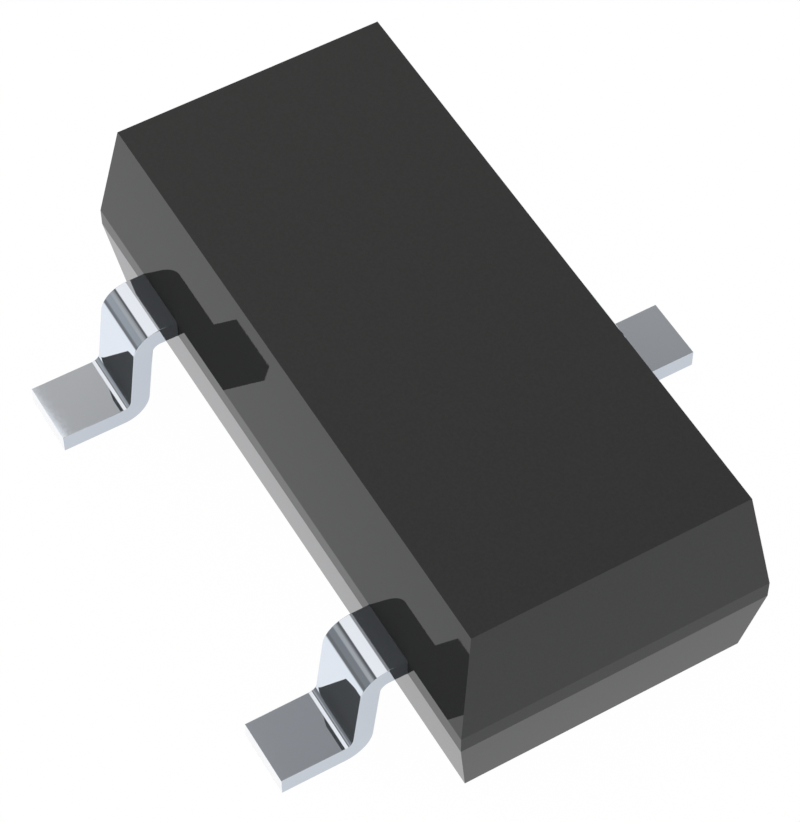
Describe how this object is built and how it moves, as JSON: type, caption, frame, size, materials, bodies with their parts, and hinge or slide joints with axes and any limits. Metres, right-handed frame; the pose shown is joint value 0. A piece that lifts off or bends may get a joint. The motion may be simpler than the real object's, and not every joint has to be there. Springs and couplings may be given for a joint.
{
  "type": "surface-mount diode",
  "caption": "Moulded surface-mount transient-suppressor diode with flat drafted body and formed gull-wing leads along both long sides.",
  "frame": {"origin": "on the board plane (underside of the feet), midway between the tips of the two rows of feet and under the middle of the body", "axes": "+X along the body's long axis from lead 1's end to lead 2's end; leads 1 and 2 leave towards -Y and lead 3 towards +Y; +Z away from the board"},
  "size_m": [0.003, 0.0026, 0.001],
  "materials": {
    "mould_compound": "gloss",
    "tin_plated_copper": "polished",
    "silver_adhesive": "matte",
    "silicon": "gloss",
    "pad_metal": "satin",
    "gold_wire": "polished"
  },
  "bodies": {
    "root": {"moulded_body": "mould_compound", "lead_1": "tin_plated_copper", "lead_2": "tin_plated_copper", "lead_3": "tin_plated_copper", "die_attach": "silver_adhesive", "silicon_die": "silicon", "bond_pad_1": "pad_metal", "bond_pad_2": "pad_metal", "bond_wire_1": "gold_wire", "bond_wire_2": "gold_wire"}
  },
  "joints": []
}
